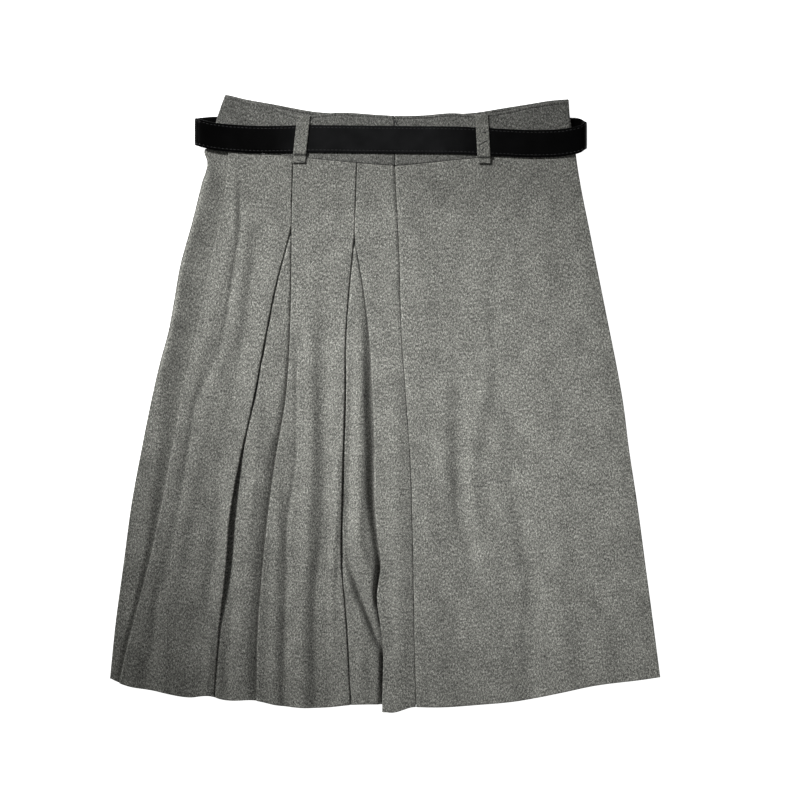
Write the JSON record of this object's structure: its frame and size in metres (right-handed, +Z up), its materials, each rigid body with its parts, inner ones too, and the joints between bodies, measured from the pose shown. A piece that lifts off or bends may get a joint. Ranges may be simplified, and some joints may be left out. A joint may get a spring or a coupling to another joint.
{
  "type": "pleated skirt with belt",
  "caption": "Knee-length flannel skirt laid flat, pleated on the left front and plain on the right, with a shaped waistband, belt loops and a leather belt.",
  "frame": {"origin": "the middle of the box around the laid skirt, on the surface that it lies on", "axes": "+Y runs up the skirt to its waist, its longest extent; +X to the right seen from above; +Z up from the surface, its shortest extent"},
  "size_m": [0.55, 0.6173, 0.0161],
  "materials": {
    "flannel": "heathered grey wool flannel, matt with a short nap",
    "leather": "black grained leather, softly glossy",
    "metal": "dark plated steel"
  },
  "bodies": {
    "root": {"front_pleated": "flannel", "front_plain": "flannel", "back_panel": "flannel", "band_front_left": "flannel", "band_front_right": "flannel", "band_back": "flannel", "loop_front_left": "flannel", "loop_front_right": "flannel", "loop_back_left": "flannel", "loop_back_right": "flannel", "belt_strap": "leather", "belt_stud_left": "metal", "belt_stud_right": "metal"}
  },
  "joints": []
}
